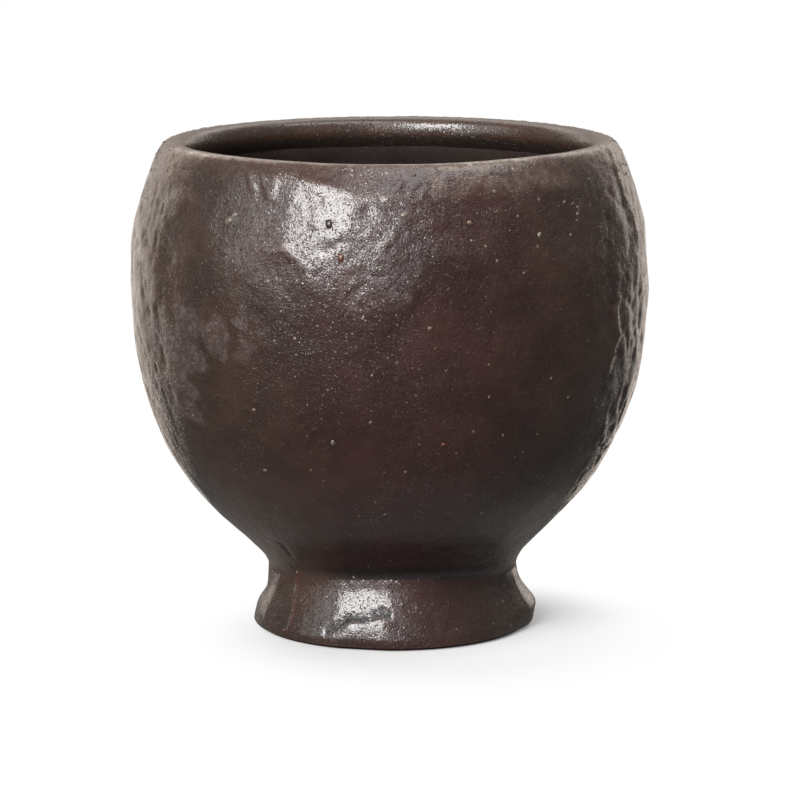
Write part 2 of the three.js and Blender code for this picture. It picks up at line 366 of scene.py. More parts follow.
# Dents and small lumps: pixel, radius and height in millimetres
DENTS = [
    (321, 200, 0.4, -0.14), (450, 230, 1.5, -0.20), (418, 308, 1.6, -0.16), (443, 222, 0.8, 0.14),
    (410, 300, 0.9, 0.12), (230, 220, 0.9, 0.20), (367, 212, 1.4, -0.14), (222, 385, 2.6, -0.10),
    (470, 190, 1.3, 0.12), (385, 200, 1.2, 0.12), (600, 250, 1.6, 0.16), (300, 215, 2.0, 0.06),
    (147, 232, 0.6, -0.25), (150, 248, 0.6, -0.22), (146, 287, 0.6, -0.22), (165, 359, 0.6, -0.22),
    (152, 281, 0.6, -0.20), (157, 340, 0.6, -0.20), (145, 316, 0.7, -0.22), (156, 190, 0.6, -0.20),
]
# Broad swells and hollows of the bowl's two sides: turn in degrees, then height, reach and relief
# in millimetres
SWELLS = [
    (88, 73, 9, 0.45), (88, 56, 4, 0.12), (88, 38, 8, 0.40), (-88, 47, 8, -0.32), (-88, 68, 6, 0.35),
]


def mark_relief(points):
    """Relief of the placed ridges, scratches, dents, lumps and swells."""
    relief = np.zeros(points.shape[:-1])
    for x0, y0, x1, y1, width, height in RIDGES:
        relief += height * stroke_at(points, pixel_point(x0, y0), pixel_point(x1, y1), width)
    for px, py, radius, height in DENTS:
        centre = pixel_point(px, py)
        relief += height * stroke_at(points, centre, centre, radius)
    for turn, height, reach, swell in SWELLS:
        centre = surface_point(math.radians(turn), height)[0]
        relief += swell * stroke_at(points, centre, centre, reach)
    return relief


# The crease over the lump at the front of the foot: pixels along it
FOOT_CREASE = [(326, 631), (340, 624), (348, 618), (366, 617), (375, 614), (382, 612), (390, 616)]

# Upright edges of the foot's two side faces: turn in degrees and height in millimetres
SIDE_EDGES = [(72, 0.55), (-64, 0.35)]


def crease_at(points, width):
    """Nearness, 0 to 1, of points to the crease over the lump."""
    crease = [pixel_point(px, py) for px, py in FOOT_CREASE]
    return np.max([stroke_at(points, a, b, width) for a, b in zip(crease, crease[1:])], axis=0)


def foot_relief(points):
    """The ledge at the top of the foot, its seam, its creased lump at the front and its side edges."""
    turn = turns_of(points)
    height = points[..., 2]
    line = WAIST_HEIGHT + 0.2 + 0.1 * np.sin(3 * turn)
    below, above = np.clip(line - height, 0, 20), np.clip(height - line, 0, 20)
    step = smooth(height, line - 0.35, line + 0.35)
    ledge = 0.10 * (1 - step) * np.exp(-below / 2.5) - 0.34 * step * np.exp(-above / 2.2)
    crisp = smooth(turn, math.radians(-40), math.radians(-12))
    crisp *= 1 - smooth(turn, math.radians(14), math.radians(40))
    relief = ledge * (0.3 + 0.7 * crisp)
    across = (turn - seam_turn(height)) * 21.0
    on_foot = smooth(height, 0.2, 1.2) * (1 - smooth(height, WAIST_HEIGHT, WAIST_HEIGHT + 6))
    relief -= on_foot * 0.15 * np.exp(-(across / 0.26) ** 2)
    relief += 0.24 * stroke_at(points, pixel_point(352, 627), pixel_point(384, 625), 1.6)
    under_ledge = on_foot * (1 - smooth(height, 8.0, 10.0))
    for edge, rise in SIDE_EDGES:
        from_edge = np.abs(turn - math.radians(edge)) / math.radians(14)
        relief += rise * np.clip(1 - from_edge, 0, 1) * under_ledge
    relief -= 0.32 * crease_at(points, 0.35)
    return relief


# The flat slope between the bright facet and the lip: pixels along its lower edge
SLOPE_EDGE = [(294, 176), (328, 186), (362, 197), (440, 200), (500, 190)]


def slope_relief(points):
    """How far the flat slope under the lip stands in from the round shoulder, at the front."""
    turn, height = turns_of(points), points[..., 2]
    radius = np.hypot(points[..., 0], points[..., 1])
    edge = np.array([on_surface(px, py) for px, py in SLOPE_EDGE])
    foot = np.interp(turn, edge[:, 0], edge[:, 1])
    share = np.clip((height - foot) / (CREST_HEIGHT - foot), 0, 1)
    wall = np.interp(foot, BOWL_SIDE[::-1, 1], BOWL_SIDE[::-1, 0])
    straight = wall + (CREST_RADIUS + 0.3 - wall) * share
    along = smooth(turn, edge[0, 0] - 0.05, edge[0, 0] + 0.03)
    along *= 1 - smooth(turn, edge[2, 0], edge[4, 0])
    return -0.85 * along * np.maximum(radius - straight, 0) * (share > 0)


def outer_relief(points, normals):
    """All the shaped relief of the glazed outside, in millimetres along its normals."""
    height = points[..., 2]
    turn = turns_of(points)
    outside = normals[..., 0] * points[..., 0] + normals[..., 1] * points[..., 1] > 0
    facet_top = 76.0 + 2.6 * np.exp(-((turn + 0.42) / 0.17) ** 2)
    in_bowl = smooth(height, 11, 18) * (1 - smooth(height, facet_top - 1.8, facet_top)) * outside
    relief = (facet_relief(points, normals) - 0.12) * in_bowl
    relief += 0.12 * noise_at(points, 15.0, 1) * (0.3 + 0.7 * in_bowl)
    lumpy = 0.7 + 0.6 * smooth(height, 45, 62)
    relief += 0.10 * lumpy * noise_at(points, 5.0, 2) * (0.35 + 0.65 * in_bowl)
    relief += 0.04 * lumpy * noise_at(points, 1.9, 3) * (0.3 + 0.7 * in_bowl)
    relief += slope_relief(points) * outside
    calmer_below = np.where(turn < 0, 0.25 + 0.75 * smooth(height, 30, 46),
                            0.5 + 0.5 * smooth(height, 22, 36))
    sides = smooth(np.abs(turn), math.radians(48), math.radians(64)) * in_bowl * calmer_below
    relief += 0.20 * noise_at(points, 3.2, 4, 1.7) * sides
    relief -= 0.45 * np.clip(noise_at(points, 1.5, 5, 1.3) - 0.12, 0, 1) * sides
    ends = smooth(np.abs(turn), math.radians(50), math.radians(70)) * smooth(height, 74, 77) * outside
    relief += 0.12 * noise_at(points, 1.3, 6) * ends
    foot = (1 - smooth(height, 16, 20)) * outside
    relief += foot_relief(points) * foot
    relief += 0.08 * noise_at(points, 2.6, 9) * foot
    relief += mark_relief(points) * outside
    return relief


def spread_over(values, reach):
    """A grid of values averaged over a few rows and columns, closed round the axis."""
    total = np.zeros_like(values)
    for step in range(-reach, reach + 1):
        total += np.roll(values, step, axis=1)
    total /= 2 * reach + 1
    padded = np.pad(total, ((reach, reach), (0, 0)), mode="edge")
    return sum(padded[i:i + len(values)] for i in range(2 * reach + 1)) / (2 * reach + 1)


def ring_mesh(name, grid, finish, marks=None):
    """One closed object of a grid of rings, the last ring joined to the first."""
    rows, columns = grid.shape[:2]
    here = np.arange(rows * columns).reshape(rows, columns)
    after, below = np.roll(here, -1, axis=1), np.roll(here, -1, axis=0)
    faces = np.stack([here, below, np.roll(below, -1, axis=1), after], axis=-1).reshape(-1, 4)
    mesh = bpy.data.meshes.new(name)
    mesh.from_pydata((grid.reshape(-1, 3) * MM).tolist(), [], faces.tolist())
    mesh.polygons.foreach_set("use_smooth", [True] * len(mesh.polygons))
    mesh.set_sharp_from_angle(angle=math.radians(60))
    if marks is not None:
        layer = mesh.color_attributes.new("glaze_and_painted_light_marks", "FLOAT_COLOR", "POINT")
        layer.data.foreach_set("color", np.asarray(marks, dtype=np.float32).ravel())
    return dressed(name, mesh, finish)


def dressed(name, mesh, finish):
    """An object of a mesh with its finish, in the scene."""
    mesh.materials.append(finish)
    piece = bpy.data.objects.new(name, mesh)
    bpy.context.scene.collection.objects.link(piece)
    return piece


# Node work: short helpers, then the shared effects as groups
def add(tree, kind, **values):
    """A node of a tree, with its settings and its sockets given by name."""
    node = tree.nodes.new(kind)
    for key, value in values.items():
        if hasattr(node, key):
            setattr(node, key, value)
        else:
            node.inputs[key.replace("_", " ")].default_value = value
    return node


def math_node(tree, operation, first, second, clamp=False):
    """A maths node between two sockets or numbers; gives its result socket."""
    node = add(tree, "ShaderNodeMath", operation=operation, use_clamp=clamp)
    for place, value in enumerate((first, second)):
        if isinstance(value, (int, float)):
            node.inputs[place].default_value = value
        else:
            tree.links.new(value, node.inputs[place])
    return node.outputs[0]


def vector_node(tree, operation, *sources):
    """A vector node between sockets or written vectors; gives its result socket."""
    node = add(tree, "ShaderNodeVectorMath", operation=operation)
    for place, source in enumerate(sources):
        if isinstance(source, tuple):
            node.inputs[place].default_value = source
        else:
            tree.links.new(source, node.inputs[place])
    gives_number = operation in ("LENGTH", "DISTANCE", "DOT_PRODUCT")
    return node.outputs["Value" if gives_number else "Vector"]


def texture_at(tree, kind, place, **values):
    """A texture node read at a place."""
    node = add(tree, kind, **values)
    tree.links.new(place, node.inputs["Vector"])
    return node


def parts_of(tree, colour):
    """The red, green and blue sockets of a colour."""
    node = tree.nodes.new("ShaderNodeSeparateColor")
    tree.links.new(colour, node.inputs["Color"])
    return node.outputs


def ranged(tree, value, low, high, start=0.0, end=1.0):
    """A value mapped softly from one range to another; gives its result socket."""
    node = add(tree, "ShaderNodeMapRange", interpolation_type="SMOOTHSTEP")
    tree.links.new(value, node.inputs["Value"])
    for socket, number in zip(("From Min", "From Max", "To Min", "To Max"), (low, high, start, end)):
        node.inputs[socket].default_value = number
    return node.outputs[0]


def blended(tree, share, first, second):
    """Two colours mixed by a share; each is a socket or a written colour."""
    node = add(tree, "ShaderNodeMix", data_type="RGBA")
    tree.links.new(share, node.inputs["Factor"])
    for socket, value in ((node.inputs[6], first), (node.inputs[7], second)):
        if isinstance(value, tuple):
            socket.default_value = (*value, 1.0)
        else:
            tree.links.new(value, socket)
    return node.outputs[2]


def new_group(name, inputs, outputs):
    """An empty node group with named sockets; gives the tree and its two end nodes."""
    tree = bpy.data.node_groups.new(name, "ShaderNodeTree")
    for socket, value in inputs:
        made = tree.interface.new_socket(socket, in_out="INPUT", socket_type="NodeSocketFloat")
        made.default_value = value
    for socket in outputs:
        tree.interface.new_socket(socket, in_out="OUTPUT", socket_type="NodeSocketFloat")
    return tree, tree.nodes.new("NodeGroupInput"), tree.nodes.new("NodeGroupOutput")


def scaled_place(tree, size):
    """The place on the piece, measured in a feature size given in millimetres."""
    place = tree.nodes.new("ShaderNodeTexCoord")
    scale = add(tree, "ShaderNodeVectorMath", operation="SCALE")
    tree.links.new(place.outputs["Object"], scale.inputs[0])
    tree.links.new(math_node(tree, "DIVIDE", 1000.0, size), scale.inputs["Scale"])
    return scale.outputs[0]


def make_sandy_grain():
    """Fine sand under the glaze: grains that each tilt their own way, soft peel, pinholes and pocks."""
    tree, given, out = new_group("sandy_grain", [("Grain Size", 0.27), ("Peel Size", 1.4)],
                                 ["Height", "Pits", "Pocks"])
    place = scaled_place(tree, given.outputs["Grain Size"])
    peel_place = scaled_place(tree, given.outputs["Peel Size"])

    grains = texture_at(tree, "ShaderNodeTexVoronoi", place, Scale=1.0)
    from_middle = vector_node(tree, "SUBTRACT", place, grains.outputs["Position"])
    lean = vector_node(tree, "MULTIPLY_ADD", grains.outputs["Color"], (2.0, 2.0, 2.0), (-1.0, -1.0, -1.0))
    steeper = vector_node(tree, "MULTIPLY", vector_node(tree, "MULTIPLY", lean, lean), lean)
    tilt = vector_node(tree, "DOT_PRODUCT", from_middle, steeper)
    chance = parts_of(tree, grains.outputs["Color"])["Red"]
    drawn = math_node(tree, "FRACT", math_node(tree, "MULTIPLY", chance, 13.7), 0.0)
    tilted = math_node(tree, "MULTIPLY", tilt, ranged(tree, drawn, 0.60, 0.66))

    fine = texture_at(tree, "ShaderNodeTexNoise", place, Scale=0.78, Detail=1.5)
    peel = texture_at(tree, "ShaderNodeTexNoise", peel_place, Scale=1.0, Detail=2.0)
    holes = texture_at(tree, "ShaderNodeTexVoronoi", place, Scale=0.24)
    hole = ranged(tree, holes.outputs["Distance"], 0.17, 0.10)
    open_hole = ranged(tree, parts_of(tree, holes.outputs["Color"])["Red"], 0.45, 0.55)
    pits = math_node(tree, "MULTIPLY", hole, open_hole)
    height = math_node(tree, "ADD", tilted, math_node(tree, "MULTIPLY", fine.outputs["Fac"], 0.85))
    height = math_node(tree, "ADD", height, math_node(tree, "MULTIPLY", peel.outputs["Fac"], 1.6))
    height = math_node(tree, "SUBTRACT", height, math_node(tree, "MULTIPLY", pits, 0.5))

    hollows = texture_at(tree, "ShaderNodeTexVoronoi", peel_place, Scale=0.85)
    hollow = ranged(tree, hollows.outputs["Distance"], 0.26, 0.12)
    deep = ranged(tree, parts_of(tree, hollows.outputs["Color"])["Red"], 0.40, 0.50)
    tree.links.new(height, out.inputs["Height"])
    tree.links.new(pits, out.inputs["Pits"])
    tree.links.new(math_node(tree, "MULTIPLY", hollow, deep), out.inputs["Pocks"])
    return tree


def make_mottle():
    """Slow cloudy variation, as of a glaze that lies thicker and thinner, and finer flecks."""
    tree, given, out = new_group("glaze_mottle", [("Cloud Size", 9.0)], ["Cloud", "Fleck"])
    place = scaled_place(tree, given.outputs["Cloud Size"])
    cloud = texture_at(tree, "ShaderNodeTexNoise", place, Scale=1.0, Detail=4.0, Roughness=0.62)
    fleck = texture_at(tree, "ShaderNodeTexNoise", place, Scale=7.0, Detail=3.0, Roughness=0.7)
    tree.links.new(ranged(tree, cloud.outputs["Fac"], 0.34, 0.68), out.inputs["Cloud"])
    tree.links.new(ranged(tree, fleck.outputs["Fac"], 0.40, 0.70), out.inputs["Fleck"])
    return tree


def make_grog_specks():
    """Tiny pale grains of grog that show through here and there."""
    tree, given, out = new_group("grog_specks", [("Spacing", 2.2), ("Share", 0.35)], ["Speck", "Tone"])
    place = scaled_place(tree, given.outputs["Spacing"])
    cells = texture_at(tree, "ShaderNodeTexVoronoi", place, Scale=1.0)
    chance = parts_of(tree, cells.outputs["Color"])
    size = math_node(tree, "MULTIPLY_ADD", chance["Green"], 0.07)
    size.node.inputs[2].default_value = 0.05
    near = math_node(tree, "LESS_THAN", cells.outputs["Distance"], size)
    kept = math_node(tree, "LESS_THAN", chance["Red"], given.outputs["Share"])
    tree.links.new(math_node(tree, "MULTIPLY", near, kept), out.inputs["Speck"])
    tree.links.new(chance["Blue"], out.inputs["Tone"])
    return tree


def use_group(tree, group, **values):
    """A shared effect placed in a material with its own values."""
    node = tree.nodes.new("ShaderNodeGroup")
    node.node_tree = group
    for key, value in values.items():
        node.inputs[key.replace("_", " ")].default_value = value
    return node


def new_finish(name, specular):
    """An empty finish; gives the material, its node tree and its shader."""
    material = bpy.data.materials.new(name)
    material.use_nodes = True
    tree = material.node_tree
    shader = tree.nodes["Principled BSDF"]
    shader.inputs["Specular IOR Level"].default_value = specular
    return material, tree, shader


def flecked_roughness(tree, mottle, low, high):
    """A roughness between two values that follows the flecks of a finish."""
    return ranged(tree, mottle.outputs["Fleck"], 0.0, 1.0, low, high)


def add_bump(tree, height, depth, socket):
    """Fine relief of a finish, from a height and its depth in metres, to a normal socket."""
    bump = add(tree, "ShaderNodeBump", Strength=1.0, Distance=depth)
    tree.links.new(height, bump.inputs["Height"])
    tree.links.new(bump.outputs["Normal"], socket)


SANDY_GRAIN = make_sandy_grain()
MOTTLE = make_mottle()
GROG_SPECKS = make_grog_specks()

# Colours of the outer glaze: its red and olive tones, each from thick to thin, then what shows on
# ridges and as painted sheen, where it is worn and as painted sheen, on bare edges and as a painted
# line of light on the lip, in dry patches and as painted reflection, as painted shade in the neck, the
# crease and under the inner lip and as a deeper brown low on the foot, and as painted shade in pinholes
RED_GLAZE = (0.0285, 0.0109, 0.0086), (0.0447, 0.0169, 0.0133)
OLIVE_GLAZE = (0.0300, 0.0152, 0.0101), (0.0475, 0.0242, 0.0157)
RIDGE_AND_PAINTED_SHEEN_BROWN, WORN_AND_PAINTED_SHEEN_BROWN = (0.100, 0.062, 0.047), (0.150, 0.104, 0.080)
BARE_EDGE_AND_PAINTED_LIP_HIGHLIGHT, DRY_AND_PAINTED_REFLECTION_GREY = (0.38, 0.325, 0.275), (0.105, 0.074, 0.065)
PAINTED_SHADE_AND_DEEP_BROWN, PINHOLE_PAINTED_SHADE_BROWN = (0.014, 0.0105, 0.0095), (0.012, 0.008, 0.007)


def make_outer_glaze():
    """Dark brown glaze on sandy clay: thin on ridges and lip, grey in dry patches, dull in the crease;
    with painted sheen on the shoulder, a painted line of light on the lip, painted reflection in the
    grey patches, and painted shade in the neck, the crease, under the inner lip and in pinholes.
    """
    material, tree, shader = new_finish("outer_glaze_finish", 0.3)
    shader.inputs["Coat Roughness"].default_value = 0.13
    mottle = use_group(tree, MOTTLE, Cloud_Size=9.0)
    grain = use_group(tree, SANDY_GRAIN, Grain_Size=0.21, Peel_Size=1.3)
    specks = use_group(tree, GROG_SPECKS, Spacing=2.1, Share=0.3)
    marks = add(tree, "ShaderNodeAttribute", attribute_name="glaze_and_painted_light_marks")
    parts = parts_of(tree, marks.outputs["Color"])
    # thin: thin glaze, with painted sheen and a painted line of light on the lip, and painted shade below
    # zero; dry: dry glaze, with painted reflection
    thin, dry, sand = parts["Red"], parts["Green"], parts["Blue"]

    red = blended(tree, mottle.outputs["Cloud"], *RED_GLAZE)
    olive = blended(tree, mottle.outputs["Cloud"], *OLIVE_GLAZE)
    colour = blended(tree, marks.outputs["Alpha"], red, olive)
    # Paler on thin and worn glaze, and as painted sheen on the shoulder
    bare = ranged(tree, thin, 0.0, 1.0)
    worn = math_node(tree, "MULTIPLY", mottle.outputs["Fleck"], bare)
    colour = blended(tree, bare, colour, RIDGE_AND_PAINTED_SHEEN_BROWN)
    colour = blended(tree, worn, colour, WORN_AND_PAINTED_SHEEN_BROWN)
    # Bare edges, and the painted line of light on the lip
    colour = blended(tree, ranged(tree, thin, 1.0, 2.0), colour, BARE_EDGE_AND_PAINTED_LIP_HIGHLIGHT)
    # Greyer where the glaze is dry, and as painted reflection
    dry_and_reflection_share = math_node(tree, "MULTIPLY", ranged(tree, mottle.outputs["Fleck"], 0.0, 1.0, 0.3, 0.9), dry)
    colour = blended(tree, dry_and_reflection_share, colour, DRY_AND_PAINTED_REFLECTION_GREY)
    # Painted shade in the neck, the crease and under the inner lip, and a deeper brown low on the foot
    colour = blended(tree, ranged(tree, thin, 0.0, -1.0), colour, PAINTED_SHADE_AND_DEEP_BROWN)
    # Painted shade in the pinholes
    colour = blended(tree, grain.outputs["Pits"], colour, PINHOLE_PAINTED_SHADE_BROWN)
    pale = blended(tree, specks.outputs["Tone"], (0.12, 0.07, 0.045), (0.28, 0.22, 0.17))
    colour = blended(tree, specks.outputs["Speck"], colour, pale)
    tree.links.new(colour, shader.inputs["Base Color"])

    drier = math_node(tree, "MULTIPLY", dry, 0.12)
    rough = math_node(tree, "ADD", flecked_roughness(tree, mottle, 0.40, 0.52), drier)
    tree.links.new(rough, shader.inputs["Roughness"])
    tree.links.new(ranged(tree, thin, -1.1, -1.9, 0.95, 0.1), shader.inputs["Coat Weight"])
    height = math_node(tree, "MULTIPLY", grain.outputs["Height"], sand)
    pocked = math_node(tree, "MULTIPLY", grain.outputs["Pocks"], dry)
    height = math_node(tree, "SUBTRACT", height, math_node(tree, "MULTIPLY", pocked, 1.6))
    add_bump(tree, height, 0.00010, shader.inputs["Normal"])
    add_bump(tree, height, 0.00006, shader.inputs["Coat Normal"])
    return material


def make_liner_glaze():
    """The smoother brown glaze of the inside."""
    material, tree, shader = new_finish("liner_glaze_finish", 0.25)
    mottle = use_group(tree, MOTTLE, Cloud_Size=12.0)
    grain = use_group(tree, SANDY_GRAIN, Grain_Size=0.35, Peel_Size=1.8)
    specks = use_group(tree, GROG_SPECKS, Spacing=3.0, Share=0.25)
    # Darker and more neutral than the outside's glaze, partly as painted shade of the inside
    colour = blended(tree, mottle.outputs["Cloud"], (0.0245, 0.0180, 0.0158), (0.0360, 0.0256, 0.0220))
    colour = blended(tree, specks.outputs["Speck"], colour, (0.22, 0.14, 0.09))
    tree.links.new(colour, shader.inputs["Base Color"])
    tree.links.new(flecked_roughness(tree, mottle, 0.26, 0.40), shader.inputs["Roughness"])
    add_bump(tree, grain.outputs["Height"], 0.00002, shader.inputs["Normal"])
    return material


def make_bare_clay(name, dark, light):
    """Unglazed sandy stoneware, dull and grainy."""
    material, tree, shader = new_finish(name, 0.25)
    mottle = use_group(tree, MOTTLE, Cloud_Size=5.0)
    grain = use_group(tree, SANDY_GRAIN, Grain_Size=0.3, Peel_Size=0.9)
    specks = use_group(tree, GROG_SPECKS, Spacing=1.2, Share=0.5)
    colour = blended(tree, mottle.outputs["Cloud"], dark, light)
    # Painted shade in the pinholes
    colour = blended(tree, grain.outputs["Pits"], colour, tuple(0.4 * part for part in dark))
    colour = blended(tree, specks.outputs["Speck"], colour, (0.30, 0.21, 0.14))
    tree.links.new(colour, shader.inputs["Base Color"])
    tree.links.new(flecked_roughness(tree, mottle, 0.62, 0.86), shader.inputs["Roughness"])
    add_bump(tree, grain.outputs["Height"], 0.00006, shader.inputs["Normal"])
    return material


def make_grog_finish():
    """Grains of grog under a thin skin of glaze, each with its own tone."""
    material, tree, shader = new_finish("grog_finish", 0.6)
    mottle = use_group(tree, MOTTLE, Cloud_Size=1.2)
    tone = add(tree, "ShaderNodeAttribute", attribute_name="grog_tone")
    shade = ranged(tree, mottle.outputs["Cloud"], 0.0, 1.0, 0.55, 1.0)
    darker = add(tree, "ShaderNodeVectorMath", operation="SCALE")
    tree.links.new(tone.outputs["Color"], darker.inputs[0])
    tree.links.new(shade, darker.inputs["Scale"])
    tree.links.new(darker.outputs[0], shader.inputs["Base Color"])
    tree.links.new(flecked_roughness(tree, mottle, 0.20, 0.40), shader.inputs["Roughness"])
    return material


OUTER_GLAZE = make_outer_glaze()
LINER_GLAZE = make_liner_glaze()
BARE_CLAY = make_bare_clay("bare_clay_finish", (0.040, 0.020, 0.015), (0.075, 0.042, 0.032))
SLIP = make_bare_clay("slip_finish", (0.055, 0.017, 0.012), (0.095, 0.034, 0.024))
GROG = make_grog_finish()

# Greyer patches of glaze, partly dry and partly painted reflection: pixel in the photo and radius in
# millimetres
DRY_AND_REFLECTION_PATCHES = [
    (185, 325, 4.5), (213, 335, 3.6), (238, 318, 1.8), (180, 370, 3.5), (243, 350, 2.0), (172, 350, 4.0),
    (192, 354, 3.5), (188, 388, 2.8), (194, 412, 2.8), (176, 405, 3.0), (152, 185, 4.5), (148, 215, 3.5),
    (150, 330, 4.0), (160, 160, 4.0), (266, 570, 2.5), (262, 600, 2.5), (270, 590, 2.5), (622, 172, 3.0),
    (632, 205, 3.0), (637, 240, 3.0), (638, 280, 3.0), (636, 320, 3.0), (630, 360, 3.0), (622, 388, 3.0),
]
# Pale places along the lip, partly worn where pale clay shows through and partly a painted line of light:
# start and end pixel, half-width in millimetres
WORN_AND_LIP_HIGHLIGHT_STROKES = [
    (470, 165, 530, 160, 0.8), (440, 168, 472, 166, 0.5), (240, 159, 275, 162, 0.4),
    (205, 155, 230, 158, 0.5), (560, 155, 580, 151, 0.7), (190, 152, 204, 155, 0.8),
    (372, 166, 420, 166, 0.35),
]


def glaze_and_painted_light_marks(points, relief):
    """For each point: where the glaze is thin, with painted sheen and a painted line of light on the lip
    mixed in, and below zero painted shade and a deeper brown; where dry, with painted reflection mixed
    in; how sandy it is and where it turns olive.
    """
    height = points[..., 2]
    convex = relief - spread_over(relief, 4)
    thin = 0.4 * np.clip(convex * 8.0, 0, 1) * smooth(height, 9, 14)
    thin = np.maximum(thin, 0.25 * smooth(height, 77.0, 79.8))
    thin = np.maximum(thin, 0.35 * (1 - smooth(height, 0.9, 2.2)))
    turn = turns_of(points)
    radius = np.hypot(points[..., 0], points[..., 1])
    ends = smooth(np.abs(turn), math.radians(48), math.radians(66))
    ends *= 1 - smooth(np.abs(turn), 2.1, 2.5)
    ends *= smooth(height, 74.5, 77.5) * smooth(radius, CREST_RADIUS - 1.2, CREST_RADIUS)
    thin = np.maximum(thin, ends * (0.6 + 0.9 * noise_at(points, 1.1, 18)))
    # The pale ring at the crest and the pale strokes: partly a bare, worn edge and partly a painted line
    # of light on the lip
    ring = np.exp(-((radius - CREST_RADIUS - 0.2) / 0.4) ** 2)
    thin = np.maximum(thin, ring * smooth(height, 79.9, 80.3) * (1.45 + 0.5 * noise_at(points, 2.0, 15)))
    for x0, y0, x1, y1, width in WORN_AND_LIP_HIGHLIGHT_STROKES:
        stroke = stroke_at(points, pixel_point(x0, y0), pixel_point(x1, y1), width)
        thin = np.maximum(thin, stroke * (1.3 + 0.8 * noise_at(points, 0.9, 16)))
    # Painted sheen on the right of the shoulder, given as paler glaze
    band = smooth(height, 74.8, 76.5) * smooth(turn, math.radians(4), math.radians(14))
    band *= 1 - smooth(turn, math.radians(44), math.radians(58))
    thin = np.maximum(thin, band * (0.45 + 0.5 * noise_at(points, 2.2, 17)))
    # Painted shade in the neck under the bowl, most on its front and right
    painted_neck_shade = smooth(height, WAIST_HEIGHT, WAIST_HEIGHT + 0.6)
    painted_neck_shade *= 1 - smooth(height + 0.8 * noise_at(points, 3.0, 14), 11.6, 13.8)
    thin -= painted_neck_shade * (1 - smooth(np.abs(turn - 0.25), 0.45, 0.95))
    # Darker towards the bottom of the foot
    thin -= 0.3 * (1 - smooth(height, 3.0, 7.0))
    # Painted shade under the inner lip
    thin -= 0.7 * (1 - smooth(height, 77.0, 78.3)) * smooth(height, 60.0, 62.0) * (radius < MOUTH_INSIDE)
    # Painted shade in the crease over the foot's lump
    thin -= 3.0 * crease_at(points, 0.27)
    # Greyer patches: partly dry glaze, partly painted reflection
    dry = np.zeros_like(height)
    patchy = noise_at(points, 2.4, 12) + 0.6 * noise_at(points, 1.1, 13)
    for px, py, reach in DRY_AND_REFLECTION_PATCHES:
        away = np.linalg.norm(points - pixel_point(px, py), axis=-1)
        dry = np.maximum(dry, 1 - smooth(away + 2.2 * patchy, reach * 0.75, reach))
    sand = (0.8 + 0.2 * (1 - smooth(height, 77.5, 79.5))) * (0.75 + 0.25 * smooth(height, 9.0, 14.0))
    sand *= 1 - 0.1 * smooth(np.abs(turn), math.radians(46), math.radians(64))
    bright = np.linalg.norm(points - pixel_point(318, 212), axis=-1)
    sand *= 1 - 0.35 * np.exp(-(bright / 6.0) ** 2)
    aside = np.abs(turn - math.radians(5))
    olive = smooth(aside + 0.15 * patchy, math.radians(10), math.radians(45))
    return np.stack([thin, dry, sand, olive], axis=-1)


def build_outside():
    """The glazed outside, from under the inner lip to the glaze line, with its back on the clay."""
    relief = outer_relief(TURNED, TURNED_NORMALS)
    front = FORMED + FORMED_NORMALS * relief[..., None]
    neck = np.arange(np.argmax(OUTER[:, 1] < 15.0), len(OUTER) - 1, 3)
    rows = np.unique(np.r_[np.linspace(0, len(OUTER) - 1, 10).astype(int), neck])[::-1]
    back = (front - FORMED_NORMALS * GLAZE_DEPTH)[rows]
    marks = glaze_and_painted_light_marks(TURNED, relief)
    piece = ring_mesh("glazed_outside", np.concatenate([front, back]), OUTER_GLAZE,
                      np.concatenate([marks, marks[rows]]))
    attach(piece, "root")
    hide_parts("outer_glaze", "bowl_wall", "rim_coil", "waist_fillet")
    return front


def build_inside():
    """The glazed inside, down to the middle of the floor, with its back on the clay."""
    outline = evenly(inner_outline(), 0.9)
    points, normals = turned_grid(outline, LESSER_COLUMNS)
    deep = 1 - smooth(points[..., 2], 66.0, 74.0)
    relief = 0.12 * noise_at(points, 15.0, 1) * (0.3 + 0.7 * deep)
    relief += 0.08 * noise_at(points, 5.0, 2) * (0.35 + 0.65 * deep)
    front = formed_by_hand(points + normals * (relief[..., None] - GLAZE_DEPTH))
    rows = np.unique(np.linspace(0, len(outline) - 1, 40).astype(int))[::-1]
    back = formed_by_hand((points + normals * relief[..., None])[rows])
    piece = ring_mesh("glazed_inside", np.concatenate([front, back])[::-1], LINER_GLAZE)
    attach(piece, "root")
    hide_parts("liner_glaze")


def build_bare_foot():
    """The bare clay: the band under the glaze line, the standing face, and the hollow of the foot."""
    band = FLARE_RADIUS - 0.25
    edge = bezier((band, GLAZE_LINE), (0, -0.4 * GLAZE_LINE), (-0.3, 0), (STANDING_OUTER, 0.0), 8)
    outline = joined(
        np.array([(17.6, 9.4), (20.0, 6.0), (band - 0.4, 2.4), (band, GLAZE_LINE)]),
        edge,
        np.array([(STANDING_OUTER, 0.0), (STANDING_INNER, 0.0), (SEAT_RADIUS, 9.6),
                  (SEAT_RADIUS - 0.4, SEAT_HEIGHT), (0.02, SEAT_HEIGHT)]),
    )
    outline = evenly(outline, 0.45)
    points, normals = turned_grid(outline, LESSER_COLUMNS)
    relief = 0.10 * noise_at(points, 4.0, 8) + 0.05 * noise_at(points, 1.5, 10)
    relief *= smooth(points[..., 2], 0.0, 0.8)
    grid = formed_by_hand(pinched_foot(points))
    grid += grid_normals(grid, normals) * relief[..., None]
    lid = formed_by_hand(np.stack([points[-1] + (0, 0, 0.6), points[0] + (0, 0, 0.8)]))
    piece = ring_mesh("bare_foot", np.concatenate([grid, lid]), BARE_CLAY)
    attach(piece, "root")
    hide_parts("foot_ring", "joint_slip")


